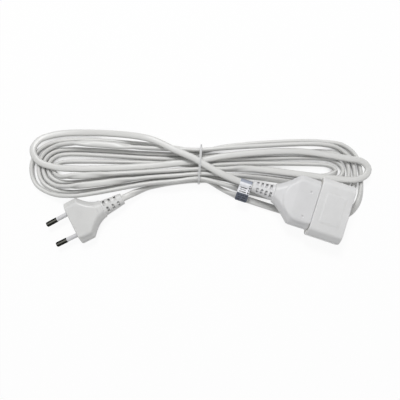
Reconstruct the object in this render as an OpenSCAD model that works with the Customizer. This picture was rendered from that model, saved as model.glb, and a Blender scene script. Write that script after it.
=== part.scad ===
// Extension cord: a flat two-pin plug, a flat two-core cord folded into a tied hank,
// and a flat socket with a deep collar. The origin is on the floor, under the middle of
// the box round the plug and the socket. +X runs from the plug to the socket, +Z is up.

/* [Cord] */
// Width of the flat sheath
cord_w = 5.4; // [4.8:0.1:5.6]
// Thickness of the flat sheath
cord_t = 3.2; // [2.8:0.1:3.3]
// Radius of one insulated core
core_r = 1.0; // [0.7:0.05:1.1]
// Distance between the two cores inside the sheath
core_pitch = 2.3; // [2.25:0.05:2.5]

/* [Pins] */
// Radius of the bare end of a pin
pin_r = 2.0; // [1.8:0.05:2.2]
// Radius of a pin under its sleeve
pin_shank_r = 1.4; // [1.2:0.05:1.45]
// Length of a pin in front of the plug's face
pin_l = 19; // [16:0.5:20]
// Length of the bare end of a pin
pin_tip_l = 9; // [7:0.5:10]
// Outer radius of the insulating sleeve
sleeve_r = 1.8; // [1.7:0.05:1.8]
// Distance between the pins at the plug's face
pin_pitch = 18.6; // [18:0.1:19]
// Angle that each pin leans inward
pin_toe = 1.2; // [0:0.1:1.5]
// Length of a pin inside the plug
pin_root_l = 8; // [6:0.5:9]

/* [Plug] */
// Width of the plug at its face
plug_w = 35.3; // [33:0.1:37]
// Thickness of the plug
plug_t = 13.7; // [13:0.1:14.5]
// Width of the slanted edges of the plug
plug_chamfer = 4.65; // [3.5:0.05:5.5]
// Length of the plug's body, without its strain relief
plug_l = 27; // [24:0.5:30]
// Length of the full-width grip behind the face
plug_grip_l = 11; // [8:0.5:12]
// Width of the plug's neck, where the strain relief starts
plug_neck_w = 14.4; // [12:0.2:16]
// Thickness of the plug's neck
plug_neck_t = 11.6; // [10:0.2:12.5]
// Length of the plug's strain relief
plug_relief_l = 17; // [13:0.5:20]

/* [Strain reliefs] */
// Width of a strain relief at the neck
relief_w = 12.8; // [11:0.2:13.6]
// Thickness of a strain relief at the neck
relief_t = 9.6; // [8.6:0.2:10]
// Width of a strain relief at the cord
relief_end_w = 9.2; // [8.4:0.2:10.4]
// Thickness of a strain relief at the cord
relief_end_t = 7.2; // [6.6:0.2:8]
// Number of slots on each side of the plug's strain relief
plug_slots = 3; // [2:1:5]
// Number of slots on each side of the socket's strain relief
socket_slots = 4; // [2:1:5]
// Length of one slot along the strain relief
slot_w = 1.9; // [0.8:0.1:2.4]
// Width of the rims that close the slots on the outside
slot_rim = 1; // [0.8:0.1:1.4]

/* [Socket] */
// Width of the collar
collar_w = 47; // [45:0.5:50]
// Thickness of the collar
collar_t = 18.6; // [18.2:0.1:21]
// Width of the slanted edges of the collar
collar_chamfer = 4.7; // [4:0.1:5.5]
// Length of the collar
collar_l = 26.6; // [25:0.2:30]
// Wall of the collar round its insert
collar_wall = 1.5; // [1.2:0.1:1.6]
// Depth of the recess that takes the plug's face
recess_l = 13; // [11:0.5:14]
// Width of the socket's rear body
rear_w = 40; // [37:0.5:42]
// Thickness of the socket's rear body
rear_t = 17; // [16:0.2:18]
// Length of the rear body
rear_l = 33; // [31:0.5:38]
// Length of the full-width part of the rear body
rear_grip_l = 16.5; // [14:0.5:18]
// Width of the neck of the rear body
rear_neck_w = 15; // [14:0.2:18]
// Thickness of the neck of the rear body
rear_neck_t = 13.2; // [12:0.2:14]
// Length of the socket's strain relief
rear_relief_l = 17.4; // [13:0.2:20]

/* [Contacts] */
// Wall of a contact sleeve
contact_wall = 0.8; // [0.5:0.05:1.0]
// Length of a contact sleeve
contact_l = 17; // [15:0.5:18]
// Radius of a crimp barrel
crimp_r = 1.5; // [1.3:0.05:1.6]
// Length of a crimp barrel
crimp_l = 6; // [4:0.5:7]
// Thickness of the insert's front plate
plate_l = 2; // [1.8:0.1:2.4]
// Thickness of the shutter
shutter_t = 1.4; // [1.2:0.1:1.6]
// Radius of the shutter spring's wire
spring_wire_r = 0.25; // [0.2:0.01:0.28]
// Outer radius of the shutter spring
spring_r = 1.2; // [1.1:0.05:1.25]
// Number of turns of the shutter spring
spring_turns = 7; // [5:1:8]

/* [Hank] */
// Gap between neighbouring strands
strand_gap = 0.5; // [0.45:0.05:0.6]
// Width of the tie round the middle of the hank
tie_w = 1.8; // [1.5:0.1:3]
// Thickness of the tie
tie_t = 0.4; // [0.3:0.05:0.45]
// Length of the label, measured along the cord
label_l = 9.6; // [8:0.2:11]
// Height of the label's flag
label_h = 11.4; // [9:0.2:14]
// Thickness of the label
label_t = 0.3; // [0.3:0.05:0.4]

/* [Hidden] */
$fn = 48;

// Clearances
snug = 0.15;        // between a moulding and the piece that it holds
slide_gap = 0.15;   // on each face of the shutter
entry_gap = 0.15;   // round a pin in the insert's front plate
contact_gap = 0.05; // round a pin in its contact
plug_gap = 0.6;     // round the plug's face in the recess
tie_gap = 0.3;      // between the tie and the strands, below and above
tie_side_gap = 0.6; // and at the sides, where the strands fan out
wall_min = 1;       // thinnest wall round a hidden space
eps = 0.01;

// Places of the plug and the socket
plug_at = [-100.55, -10.15, plug_t / 2];
plug_yaw = 207.5;
collar_at = [89.9, 3.8, 13.2];
socket_yaw = -18.4;
tie_at = [0.5, 37.5, 0];
floor_raise = 0.8;  // lift of the strands over the tie

white = [0.93, 0.93, 0.91];
pale = [0.86, 0.87, 0.86];
metal = [0.72, 0.70, 0.66];
brass = [0.80, 0.66, 0.36];

// ---------- outlines and lofts ----------

// A corner turned into three points that round it off
function soft_corner(p, q, r, cut) = let(
    a = q + (p - q) * min(cut / norm(p - q), 0.45),
    b = q + (r - q) * min(cut / norm(r - q), 0.45))
    [a, (a + 2 * q + b) / 4, b];

// Flattened hexagon with slanted edges: width, thickness, chamfer and corner radius
function hexagon(w, t, chamfer, cut) = let(
    a = w / 2, h = t / 2, f = a - chamfer, e = max(h - chamfer, 0.4),
    c = [[a, -e], [a, e], [f, h], [-f, h], [-a, e], [-a, -e], [-f, -h], [f, -h]], n = len(c))
    [for (i = [0:n - 1]) each soft_corner(c[(i + n - 1) % n], c[i], c[(i + 1) % n], cut)];

// Triangles of a tube of rings with m points each, closed at both ends
function tube_faces(rings, m) = concat(
    [for (j = [1:m - 2]) [0, j, j + 1]],
    [for (i = [0:rings - 2], j = [0:m - 1]) let(k = (j + 1) % m)
        each [[i * m + j, (i + 1) * m + j, (i + 1) * m + k], [i * m + j, (i + 1) * m + k, i * m + k]]],
    [for (j = [1:m - 2]) let(s = (rings - 1) * m) [s, s + j + 1, s + j]]);

module skin(rings) {
    polyhedron(points = [for (r = rings) each r], faces = tube_faces(len(rings), len(rings[0])));
}

// Rings across X; a section is [x, width, thickness, chamfer]
module loft(sections, cut) {
    skin([for (s = sections) [for (p = hexagon(s[1], s[2], s[3], cut)) [s[0], p[0], p[1]]]]);
}

// Width and thickness of a body that narrows from a grip to a neck in a hollow flank
plug_hollow = 1.85;
rear_hollow = 1.35;
flank_steps = 6;
function narrowing(x0, x1, w0, w1, t0, t1, chamfer, hollow) = [for (i = [0:flank_steps]) let(
    k = i / flank_steps, w = w1 + (w0 - w1) * pow(1 - k, hollow), t = t1 + (t0 - t1) * (1 - k))
    [x0 + (x1 - x0) * k, w, t, min(chamfer, w * 0.3, t * 0.33)]];

// Grip, hollow flank and neck, drawn from the neck at the far left to x = 0
module grip_body(w, t, chamfer, grip_l, length, neck_w, neck_t, edge, hollow) {
    flank_rings = narrowing(-grip_l, -length, w, neck_w, t, neck_t, chamfer, hollow);
    loft(concat([for (i = [flank_steps:-1:0]) flank_rings[i]],
                [[-edge, w, t, chamfer], [0, w - edge, t - edge, chamfer - edge / 2]]), 1.2);
}

// Strain relief from x = start back to x = start - length, with two rows of slots above and
// below. A slot is shallow over the cores, deep beside them, and closed by a rim.
spine = 0.8;         // half the ridge between the rows
slot_wall = 0.65;    // between a core and the deep part of a slot
slot_web = 1;        // left between the slots above and below
module strain_relief(start, length, slots) {
    difference() {
        loft([[start - length, relief_end_w, relief_end_t, relief_end_t * 0.3],
              [start + eps, relief_w, relief_t, relief_t * 0.3]], 0.8);
        for (i = [0:slots - 1], side = [-1, 1]) let(
            pitch = (length - 3) / slots,
            x = start - 2.4 - pitch * (i + (side > 0 ? 0.25 : 0)),
            deep = core_pitch / 2 + core_r + slot_wall, lid = core_r + snug + wall_min,
            outer = (relief_w + (relief_end_w - relief_w) * (start - x) / length) / 2 - slot_rim)
            for (cut = [[spine, lid], [deep, slot_web / 2]], up = [-1, 1])
                translate([x, side * (cut[0] + outer) / 2, up * (cut[1] + relief_t / 2)])
                    cube([slot_w, outer - cut[0], relief_t], center = true);
    }
}

// ---------- places ----------

module at_plug() { translate(plug_at) rotate(plug_yaw) children(); }
module at_socket() { translate(collar_at) rotate(socket_yaw) children(); }
module along_pin(side) {
    translate([0, side * pin_pitch / 2, 0]) rotate([0, 0, -side * pin_toe]) rotate([0, 90, 0]) children();
}
module along_contact(side) {
    translate([0, side * contact_pitch / 2, 0]) rotate([0, 90, 0]) children();
}

// ---------- plug ----------

plug_edge = 0.5;
bridge_w = pin_pitch + 2 * pin_r + 4;
bridge_t = 8;
bridge_front = 1.5;
bridge_l = pin_root_l - bridge_front - 1;
pin_round = 1.0;
sleeve_l = pin_l - pin_tip_l + bridge_front - 3 * snug;
plug_chamber_l = crimp_l + 8;
chamber_t = 2 * crimp_r + 1.0;
plug_chamber_back = -pin_root_l - plug_chamber_l;
channel_w = core_pitch + 2 * core_r + 2 * snug;
channel_t = 2 * core_r + 2 * snug;

// Flat hollow that narrows from the crimps to the cord's two cores
module core_chamber(front, back, wide) {
    linear_extrude(chamber_t, center = true)
        polygon([[front, -wide / 2], [front, wide / 2], [front - crimp_l - 1.5, wide / 2],
                 [back, channel_w / 2], [back, -channel_w / 2], [front - crimp_l - 1.5, -wide / 2]]);
}

module plug_body() {
    color(white) at_plug() difference() {
        union() {
            grip_body(plug_w, plug_t, plug_chamfer, plug_grip_l, plug_l,
                      plug_neck_w, plug_neck_t, plug_edge, plug_hollow);
            strain_relief(-plug_l, plug_relief_l, plug_slots);
        }
        translate([-bridge_front - bridge_l / 2, 0, 0])
            cube([bridge_l + 2 * snug, bridge_w + 2 * snug, bridge_t + 2 * snug], center = true);
        for (side = [-1, 1]) along_pin(side)
            translate([0, 0, -pin_root_l - 0.5]) cylinder(r = sleeve_r + snug, h = pin_root_l + 1.5);
        core_chamber(-pin_root_l, plug_chamber_back, pin_pitch + 2 * crimp_r + 1.4);
        translate([-(plug_l + plug_relief_l) - 1, -channel_w / 2, -channel_t / 2])
            cube([plug_l + plug_relief_l + plug_chamber_back + 1.2, channel_w, channel_t]);
    }
}

// Rigid carrier that holds both pins
module plug_bridge() {
    color(pale) at_plug() difference() {
        translate([-bridge_front - bridge_l / 2, 0, 0])
            cube([bridge_l, bridge_w, bridge_t], center = true);
        for (side = [-1, 1]) along_pin(side)
            translate([0, 0, -pin_root_l]) cylinder(r = pin_shank_r + contact_gap, h = pin_root_l + 1);
    }
}

// Thin shank in the plug and the sleeve, then the thicker bare end with a rounded tip
module pin(side) {
    color(metal) at_plug() along_pin(side) rotate_extrude()
        polygon(concat([[0, -pin_root_l], [pin_shank_r, -pin_root_l], [pin_shank_r, pin_l - pin_tip_l],
                        [pin_r, pin_l - pin_tip_l]],
                       [for (a = [0:15:90]) [pin_r - pin_round + pin_round * cos(a),
                                            pin_l - pin_round + pin_round * sin(a)]],
                       [[0, pin_l]]));
}
module plug_pin_left() { pin(1); }
module plug_pin_right() { pin(-1); }

module sleeve(side) {
    color(white) at_plug() along_pin(side) translate([0, 0, -bridge_front + 2 * snug]) difference() {
        cylinder(r = sleeve_r, h = sleeve_l);
        translate([0, 0, -1]) cylinder(r = pin_shank_r + contact_gap, h = sleeve_l + 2);
    }
}
module pin_sleeve_left() { sleeve(1); }
module pin_sleeve_right() { sleeve(-1); }

// Barrel that joins a core to the root of its pin
module plug_crimp(side) {
    color(brass) at_plug() along_pin(side)
        translate([0, 0, -pin_root_l - crimp_l]) cylinder(r = crimp_r, h = crimp_l);
}
module plug_crimp_left() { plug_crimp(1); }
module plug_crimp_right() { plug_crimp(-1); }

// ---------- swept tubes ----------

function unit(v) = v / norm(v);
// Direction of a route at point i, as the mean of its two chords
function heading(p, i) = let(
    a = i > 0 ? unit(p[i] - p[i - 1]) : unit(p[1] - p[0]),
    b = i < len(p) - 1 ? unit(p[i + 1] - p[i]) : unit(p[i] - p[i - 1])) unit(a + b);

// One ring of a section [across, thick] at point i, rolled by lean about the route
function ring_at(p, i, lean, section) = let(
    d = heading(p, i), side = unit([-d[1], d[0], 0]), up = cross(d, side),
    wide = side * cos(lean) + up * sin(lean), thick = up * cos(lean) - side * sin(lean))
    [for (s = section) p[i] + wide * s[0] + thick * s[1]];

module sweep(p, leans, section) {
    skin([for (i = [0:len(p) - 1]) ring_at(p, i, leans[i], section)]);
}

// Flat cord: a hexagon for the hank, an octagon for the leads
cord_flat = 2.6; // width of the flat top and bottom
hank_section = [[cord_w / 2, 0], [cord_flat / 2, cord_t / 2], [-cord_flat / 2, cord_t / 2],
                [-cord_w / 2, 0], [-cord_flat / 2, -cord_t / 2], [cord_flat / 2, -cord_t / 2]];
lead_flat = 3.2;
lead_edge = 1.4;
lead_section = [[cord_w / 2, lead_edge / 2], [lead_flat / 2, cord_t / 2], [-lead_flat / 2, cord_t / 2],
                [-cord_w / 2, lead_edge / 2], [-cord_w / 2, -lead_edge / 2],
                [-lead_flat / 2, -cord_t / 2], [lead_flat / 2, -cord_t / 2], [cord_w / 2, -lead_edge / 2]];
function round_section(r, m) = [for (j = [0:m - 1]) r * [cos(360 * j / m), sin(360 * j / m)]];

// ---------- inner cores ----------

// From a crimp at x = front to the cord's end at x = end, the bend ending at x = back
module core(front, back, end, half_pitch, side) {
    y0 = side * half_pitch;
    y1 = side * core_pitch / 2;
    sweep([[front, y0, 0], [front - 1, y0, 0], [(front + back) / 2, (y0 + y1) / 2, 0],
           [back + core_r, y1, 0], [back - 2, y1, 0], [end, y1, 0]],
          [0, 0, 0, 0, 0, 0], round_section(core_r, 8));
}
// The pins lean, so their roots lie a little further apart than at the face
root_pitch = pin_pitch + 2 * (pin_root_l + crimp_l) * sin(pin_toe);
plug_core_front = -(pin_root_l + crimp_l) * cos(pin_toe) - core_r * sin(pin_toe) - 0.05;
module plug_core(side) {
    at_plug() core(plug_core_front, plug_chamber_back, -plug_l - plug_relief_l, root_pitch / 2, side);
}
module plug_core_brown() { color([0.42, 0.25, 0.14]) plug_core(1); }
module plug_core_blue() { color([0.16, 0.33, 0.62]) plug_core(-1); }

// ---------- socket ----------

contact_pitch = pin_pitch - pin_l * sin(pin_toe) - 0.3;
contact_r = pin_r + contact_gap;
recess_floor = collar_l - recess_l;
plate_back = recess_floor - snug - plate_l;
contact_front = plate_back - shutter_t - 2 * slide_gap - snug;
contact_back = contact_front - contact_l;
carrier_w = collar_w - 2 * collar_wall - 2 * snug;
carrier_t = collar_t - 2 * collar_wall - 2 * snug;
carrier_back = contact_back + 1.5;
open_gap = 0.12;
shutter_h = 2 * (pin_r + entry_gap + 0.15);
shutter_travel = pin_r + shutter_h / 2 + open_gap;
shutter_w = contact_pitch + 2 * pin_r + 2 * entry_gap + 1.8;
shutter_x = plate_back - slide_gap - shutter_t / 2;
well_floor = -shutter_h / 2 - shutter_travel - 0.2;
yoke_bar = 1.8;
yoke_under = 3.6;
yoke_top = yoke_under + yoke_bar;
yoke_leg = 2.0;
well_top = yoke_top + 0.2;
spring_well_r = spring_r + 0.25;
carrier_edge = collar_chamfer - collar_wall * 0.4;

module connector_collar() {
    color(white) at_socket() difference() {
        union() {
            loft([[0, collar_w - 0.8, collar_t - 0.8, collar_chamfer],
                  [0.8, collar_w, collar_t, collar_chamfer],
                  [collar_l - 1, collar_w, collar_t, collar_chamfer],
                  [collar_l, collar_w - 1.4, collar_t - 1.2, collar_chamfer - 0.4]], 1.0);
            for (z = [-1, 1]) translate([collar_l / 2, 0, z * (collar_t / 2 + panel_h / 2 - eps)])
                cube([panel_l, panel_w, panel_h], center = true);
        }
        loft([[-1, carrier_w + 2 * snug, carrier_t + 2 * snug, carrier_edge],
              [recess_floor, carrier_w + 2 * snug, carrier_t + 2 * snug, carrier_edge]], 0.8);
        loft([[recess_floor - 1, plug_w + 2 * plug_gap, plug_t + 2 * plug_gap, plug_chamfer],
              [collar_l + 1, plug_w + 2 * plug_gap, plug_t + 2 * plug_gap, plug_chamfer]], 0.8);
    }
}
panel_l = 15;
panel_w = 23;
panel_h = 0.2;

// Grip behind the collar, with a hollow for the insert, the crimps and the cores
connector_chamber_back = -rear_l + 6;
module connector_body() {
    color(white) at_socket() difference() {
        union() {
            grip_body(rear_w, rear_t, collar_chamfer - 0.4, rear_grip_l, rear_l,
                      rear_neck_w, rear_neck_t, 0.8, rear_hollow);
            strain_relief(-rear_l, rear_relief_l, socket_slots);
        }
        translate([contact_back / 2, 0, 0])
            cube([-contact_back + 2 * snug, block_w + 2 * snug, block_t + 2 * snug], center = true);
        core_chamber(contact_back + 1, connector_chamber_back, contact_pitch + 2 * crimp_r + 1.4);
        translate([-(rear_l + rear_relief_l) - 1, -channel_w / 2, -channel_t / 2])
            cube([rear_l + rear_relief_l + connector_chamber_back + 1.2, channel_w, channel_t]);
        for (d = dimple_at)
            translate([d[0], d[1], rear_t / 2 + dimple_r - dimple_depth]) sphere(r = dimple_r);
    }
}
block_w = contact_pitch + 2 * (contact_r + contact_wall) + 3;
block_t = 11;
dimple_r = 2.4;
dimple_depth = 0.45;
dimple_at = [[-7.4, -11.7], [-6.3, 8.3]];

// Rigid insert: front plate, shutter well and the block that holds both contacts
module contact_carrier() {
    color(pale) at_socket() difference() {
        union() {
            loft([[snug, carrier_w, carrier_t, carrier_edge],
                  [recess_floor - snug, carrier_w, carrier_t, carrier_edge]], 0.8);
            translate([carrier_back / 2 + 1, 0, 0])
                cube([-carrier_back + 2, block_w, block_t], center = true);
        }
        for (side = [-1, 1]) along_contact(side) {
            translate([0, 0, plate_back - 1]) cylinder(r = pin_r + entry_gap, h = plate_l + 2);
            translate([0, 0, carrier_back - 1])
                cylinder(r = contact_r + contact_wall + contact_gap, h = contact_front - carrier_back + 2);
        }
        translate([plate_back - shutter_t - 2 * slide_gap, -shutter_w / 2 - slide_gap, well_floor])
            cube([shutter_t + 2 * slide_gap, shutter_w + 2 * slide_gap, well_top - well_floor]);
        translate([shutter_x, 0, well_floor]) cylinder(r = spring_well_r, h = well_top - well_floor);
    }
}

// Contact sleeve, open to the pins and closed behind them
module contact(side) {
    color(brass) at_socket() along_contact(side) difference() {
        translate([0, 0, contact_back]) cylinder(r = contact_r + contact_wall, h = contact_l);
        translate([0, 0, contact_back + 1]) cylinder(r = contact_r, h = contact_l);
    }
}
module contact_left() { contact(1); }
module contact_right() { contact(-1); }

module connector_crimp(side) {
    color(brass) at_socket() along_contact(side)
        translate([0, 0, contact_back - crimp_l]) cylinder(r = crimp_r, h = crimp_l);
}
module connector_crimp_left() { connector_crimp(1); }
module connector_crimp_right() { connector_crimp(-1); }

module connector_core(side) {
    at_socket() core(contact_back - crimp_l, connector_chamber_back, -rear_l - rear_relief_l,
                     contact_pitch / 2, side);
}
module connector_core_brown() { color([0.42, 0.25, 0.14]) connector_core(1); }
module connector_core_blue() { color([0.16, 0.33, 0.62]) connector_core(-1); }

// Plate that covers both pin holes, with a yoke over the spring
module shutter() {
    color([0.80, 0.82, 0.82]) at_socket() translate([shutter_x, 0, 0]) rotate([90, 0, 90])
        linear_extrude(shutter_t, center = true) difference() {
            union() {
                translate([-shutter_w / 2, -shutter_h / 2]) square([shutter_w, shutter_h]);
                translate([-spring_well_r - yoke_leg, -shutter_h / 2])
                    square([2 * (spring_well_r + yoke_leg), shutter_h / 2 + yoke_top]);
            }
            translate([-spring_well_r, -shutter_h / 2 - 1])
                square([2 * spring_well_r, shutter_h / 2 + 1 + yoke_under]);
        }
}

// Coil between the floor of its well and the shutter's yoke
spring_steps = 10; // rings in one turn
module shutter_spring() {
    bottom = well_floor + spring_wire_r + 0.02;
    top = yoke_under - spring_wire_r - 0.02;
    mean_r = spring_r - spring_wire_r;
    count = spring_turns * spring_steps;
    path = [for (i = [0:count]) let(a = 360 * i / spring_steps)
        [mean_r * cos(a), mean_r * sin(a), bottom + (top - bottom) * i / count]];
    color(metal) at_socket() translate([shutter_x, 0, 0])
        sweep(path, [for (i = [0:count]) 0], round_section(spring_wire_r, 6));
}

// ---------- hank ----------
// The hank's own frame has its origin on the floor under the tie. Strands cross the tie
// in columns and layers, fan out towards both ends and turn back in round bends.

waist_pitch = cord_t + 0.65;
low = cord_w / 2;
high = low + cord_w + strand_gap;
top = cord_w + strand_gap + cord_t / 2;
over = high + low + strand_gap + cord_t / 2;
flat = cord_t / 2;

// Where each pass crosses the tie, in order: column, height, lean (90 is on edge)
passes = [[6.3, low, 90], [0, low, 90], [6, high, 90], [0, high, 90], [5, low, 90], [1, low, 90],
          [5, high, 90], [2, low, 90], [4, low, 90], [3, low, 90], [4, high, 90],
          [2.2, top, 0], [2.7, over, 0]];
// Bends: fan in, fan out, upper edge, lower edge, reach, start of the bend, roundness and
// where the fan starts on the way out
right_bends = [[-29, 19.3, 19.7, -44, 130.8, 98, 2.6, 61],
               [-21.6, 14.6, 16.1, -34, 125.8, 99, 2.25, 42],
               [-15.4, 9.6, 11.4, -24, 121.1, 100, 2.25, 42],
               [-9.2, 5.6, 6, -15.4, 116.4, 98, 1.95, 42],
               [-3.2, 1.6, 0.8, -9.2, 110.5, 98, 1.85, 42],
               [-3.5, 10.7, 4.4, -12.4, 135.2, 121.5, 2, 78]];
left_bends = [[17.4, -15.6, 20.9, -25.4, 136.8, 102, 2.36, 42],
              [13.2, -13.4, 17.1, -21.6, 130.9, 104, 2.35, 42],
              [9.9, -10.6, 13.2, -17.7, 127.1, 106, 2.27, 42],
              [6.1, -6.8, 9.1, -13.8, 123.2, 108, 2.13, 42],
              [2.3, -6, 2.9, -9.8, 118.7, 109, 1.95, 42],
              [-1.2, 20.4, 27.2, -3.4, 134.8, 97, 2.4, 42]];
near_x = 20;  // strands fan out from the waist to here
far_x = 42;   // and reach their lanes here on the way out
last_turn = 5;
slant = 60;   // lean of the two lower strands that stay half on edge
hump = 13.2;  // height of the last strand where it leaves its bend

function pass_y(p) = waist_pitch * (3 - p[0]);
// Half the height of a strand that leans
function half_height(lean) = max(cord_w / 2 * sin(lean), cord_flat / 2 * sin(lean) + cord_t / 2 * cos(lean));
function bend_point(b, a) = let(cy = (b[2] + b[3]) / 2, ry = (b[2] - b[3]) / 2, c = cos(a), s = sin(a))
    [b[5] + (b[4] - b[5]) * pow(max(c, 0), 2 / b[6]), cy + ry * sign(s) * pow(abs(s), 2 / b[6])];
// Share of a pass's height that is left at an angle of the bend
function height_share(a) = abs(a) > 75 ? 1 : abs(a) > 45 ? 0.2 : 0;
// Lean of the right-hand bends, from flat on the floor to on edge
function right_lean(a) = a < -45 ? 0 : a < -15 ? 30 : a < 15 ? 70 : 90;
// Height of the top left bend, which comes down and rises again to the last strand
function top_left_height(a) = a < 15 ? top : a < 45 ? 5 : a < 75 ? 3 : 2.6;

function bend_height(side, turn, a, pass) =
    turn == last_turn ? [side > 0 ? top : top_left_height(a), 0] :
    side > 0 ? let(lean = right_lean(a), lift = a > 0 ? (pass[1] - low) * height_share(a) : 0)
               [(a < -45 ? flat : half_height(lean)) + lift, lean] :
               [low + (pass[1] - low) * height_share(a), 90];
function far_height(side, turn, pass, outgoing) =
    side > 0 && !outgoing ? (turn == last_turn ? [top, 0] :
                             turn < 3 ? [flat, 0] : [half_height(slant), slant]) :
    side < 0 && outgoing && turn == last_turn ? [hump, 0] : [pass[1], pass[2]];

// Rings of one half turn, each [x, y, z, lean], from the tie out and back to the tie
function half_turn(turn, side) = let(
    b = side > 0 ? right_bends[turn] : left_bends[turn],
    from = passes[2 * turn + (side > 0 ? 0 : 1)], to = passes[2 * turn + (side > 0 ? 1 : 2)],
    y0 = pass_y(from), y1 = pass_y(to), way = side > 0 || turn == last_turn ? 1 : -1,
    far_in = far_height(side, turn, from, false), far_out = far_height(side, turn, to, true))
    concat([[0, y0, from[1] + floor_raise, from[2]],
            [side * near_x, (y0 + b[0]) / 2, from[1] + floor_raise, from[2]],
            [side * far_x, b[0], far_in[0], far_in[1]]],
           [for (k = [-90:30:90]) let(a = k * way, q = bend_point(b, a),
                pass = (k > 0) ? to : from, h = bend_height(side, turn, a, pass))
                [side * q[0], q[1], h[0], h[1]]],
           [[side * b[7], b[1], far_out[0], far_out[1]],
            [side * near_x, (y1 + b[1]) / 2, to[1] + floor_raise, to[2]]]);

first_pass = passes[0];
last_pass = passes[12];
hank_start = [0, pass_y(first_pass), first_pass[1] + floor_raise];
hank_end = [0, pass_y(last_pass), last_pass[1] + floor_raise];
last_way = [0.86, -0.51, 0]; // direction of the last strand where it crosses the tie
end_step = cord_w * last_way / norm(last_way);
turns = [for (turn = [0:last_turn], side = [1, -1]) each half_turn(turn, side)];
hank_rings = concat(
    [turns[0], [cord_w, hank_start[1], hank_start[2], first_pass[2]]],
    [for (i = [1:len(turns) - 1]) turns[i]],
    [concat(hank_end - end_step, last_pass[2]), concat(hank_end, last_pass[2])]);
hank_route = [for (r = hank_rings) [r[0], r[1], r[2]]];
hank_leans = [for (r = hank_rings) r[3]];

// Least gap of the hank to itself, between points on lines inside the sheath
gap_steps = 3;
core_lines = [-1.1, 0, 1.1];
function mix(a, b, k) = a * (1 - k) + b * k;
function travel(p, i = 0, s = 0) = i == len(p) ? [] : concat([s],
    travel(p, i + 1, s + (i < len(p) - 1 ? norm(p[i + 1] - p[i]) : 0)));
function own_gap(p, leans) = let(
    along = travel(p),
    lines = [for (c = core_lines) [for (i = [0:len(p) - 1]) ring_at(p, i, leans[i], [[c, 0]])[0]]],
    marks = [for (i = [0:len(p) - 2], k = [0:gap_steps - 1]) let(f = k / gap_steps)
        [mix(along[i], along[i + 1], f), mix(p[i], p[i + 1], f),
         [for (l = lines) mix(l[i], l[i + 1], f)]]])
    min([for (a = marks) for (b = marks) if (b[0] - a[0] > 25 && norm(a[1] - b[1]) < 8)
         each [for (u = a[2], v = b[2]) norm(u - v)]]) - cord_t;
function route_length(p) = let(t = travel(p)) t[len(t) - 1];

module hank() {
    echo(hank_least_gap = own_gap(hank_route, hank_leans), hank_length = route_length(hank_route));
    color(white) translate(tie_at) sweep(hank_route, hank_leans, hank_section);
}

// ---------- leads, tie and label ----------

// Ends of the leads on the two strain reliefs
function turned(v, a) = [v[0] * cos(a) - v[1] * sin(a), v[0] * sin(a) + v[1] * cos(a), v[2]];
plug_exit = plug_at + turned([-plug_l - plug_relief_l, 0, 0], plug_yaw);
plug_exit_step = plug_at + turned([-plug_l - plug_relief_l - cord_w, 0, 0], plug_yaw);
socket_exit = collar_at + turned([-rear_l - rear_relief_l, 0, 0], socket_yaw);
label_room = 0.7;   // straight cord left on each side of the label
socket_exit_step = collar_at
    + turned([-rear_l - rear_relief_l - label_l - 2 * label_room, 0, 0], socket_yaw);

plug_lead_points = [[-49.5, 16, 4.9], [-41.5, 19, 3], [-30.5, 21.5, 3.1], [-19.5, 23.3, 3.4]];
plug_lead_route = concat([plug_exit, plug_exit_step], plug_lead_points,
                         [tie_at + hank_start - [cord_w, 0, 0], tie_at + hank_start]);
plug_lead_leans = [0, 0, 50, 90, 90, 90, 90, 90];
connector_lead_points = [[17.5, 29, 14.4]];
connector_lead_route = concat([tie_at + hank_end, tie_at + hank_end + end_step],
                              connector_lead_points, [socket_exit_step, socket_exit]);
connector_lead_leans = [0, 0, 0, 0, 0];

module plug_lead() { color(white) sweep(plug_lead_route, plug_lead_leans, lead_section); }
module connector_lead() { color(white) sweep(connector_lead_route, connector_lead_leans, lead_section); }

tie_turn = -4;
// Band round all the strands, its outline drawn over the outer corners of the section
module tie_outline() {
    half = cord_t / 2 + tie_side_gap;
    outer_y = 3 * waist_pitch;
    hull() {
        for (q = [[pass_y(first_pass), -tie_gap], [pass_y(first_pass), cord_w], [outer_y, -tie_gap],
                  [-outer_y, high + low], [outer_y, high + low]])
            translate([q[0] - half, q[1] + floor_raise]) square([2 * half, tie_gap]);
        translate([pass_y(last_pass) - cord_flat / 2, over + floor_raise + cord_t / 2])
            square([cord_flat, tie_gap]);
    }
}
module cord_tie() {
    color([0.95, 0.95, 0.94]) translate(tie_at) rotate([90, 0, 90 + tie_turn])
        linear_extrude(tie_w, center = true) difference() {
            offset(r = tie_t) tie_outline();
            tie_outline();
        }
}

// Foil folded round the lead, with both ends stuck together as a flag
label_slip = 0.12;
module cord_label() {
    inner_w = cord_w + 2 * label_slip;
    inner_t = cord_t + 2 * label_slip;
    color(pale) at_socket() translate([-rear_l - rear_relief_l - label_room - label_l / 2, 0, 0])
        rotate([90, 0, 90]) linear_extrude(label_l, center = true) {
            difference() {
                square([inner_w + 2 * label_t, inner_t + 2 * label_t], center = true);
                square([inner_w, inner_t], center = true);
            }
            translate([-inner_w / 2 - label_t - label_h + eps, -label_t])
                square([label_h, 2 * label_t]);
        }
}

plug_body();
plug_bridge();
plug_pin_left();
plug_pin_right();
pin_sleeve_left();
pin_sleeve_right();
plug_crimp_left();
plug_crimp_right();
plug_core_brown();
plug_core_blue();
plug_lead();
hank();
connector_lead();
cord_label();
cord_tie();
connector_body();
connector_collar();
contact_carrier();
contact_left();
contact_right();
connector_crimp_left();
connector_crimp_right();
connector_core_brown();
connector_core_blue();
shutter();
shutter_spring();
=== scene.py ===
import math

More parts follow.
